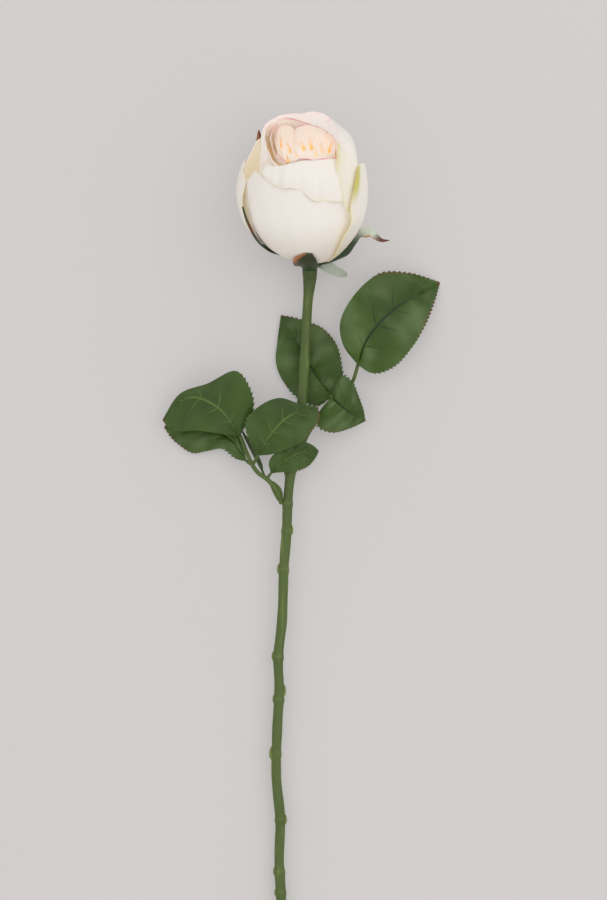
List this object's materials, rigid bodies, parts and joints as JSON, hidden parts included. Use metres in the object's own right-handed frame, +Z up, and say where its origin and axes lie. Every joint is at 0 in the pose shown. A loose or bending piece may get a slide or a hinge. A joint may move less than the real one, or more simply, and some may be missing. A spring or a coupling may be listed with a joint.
{
  "type": "rose bud",
  "caption": "Cut artificial rose lying down: a cream bud in a green calyx on a long stem with sprays of serrated leaves.",
  "frame": {"origin": "centre of the bounding box in X and Y, on the surface that the rose lies on", "axes": "+Y along the stem towards the bud, +Z up from the surface, +X towards the side of the largest leaf"},
  "size_m": [0.1462, 0.5038, 0.0695],
  "materials": {
    "petal_fabric": "matt cream fabric, yellow-green towards the rolled edges",
    "heart_fabric": "matt peach fabric with pink edges and orange-yellow recesses",
    "calyx_plastic": "moulded, dark green with a red-brown tinge at the tips",
    "stem_plastic": "moulded, satin mid green",
    "leaf_fabric": "fabric with moulded veins, satin above and matt below, red-brown teeth at the tips"
  },
  "bodies": {
    "root": {"petal_front": "petal_fabric", "petal_right": "petal_fabric", "petal_right_back": "petal_fabric", "petal_back": "petal_fabric", "petal_left": "petal_fabric", "petal_right_wrap": "petal_fabric", "petal_inner_left": "petal_fabric", "petal_inner_right": "petal_fabric", "petal_inner_back": "petal_fabric", "petal_front_folded": "petal_fabric", "heart_petals": "heart_fabric", "calyx": "calyx_plastic", "stem": "stem_plastic", "stalk_left": "stem_plastic", "stalk_right": "stem_plastic", "leaf_left_end": "leaf_fabric", "leaf_left_lower": "leaf_fabric", "leaf_left_centre": "leaf_fabric", "leaf_left_small": "leaf_fabric", "leaf_left_edge": "leaf_fabric", "leaf_right_end": "leaf_fabric", "leaf_right_centre": "leaf_fabric", "leaf_right_small": "leaf_fabric"}
  },
  "joints": []
}
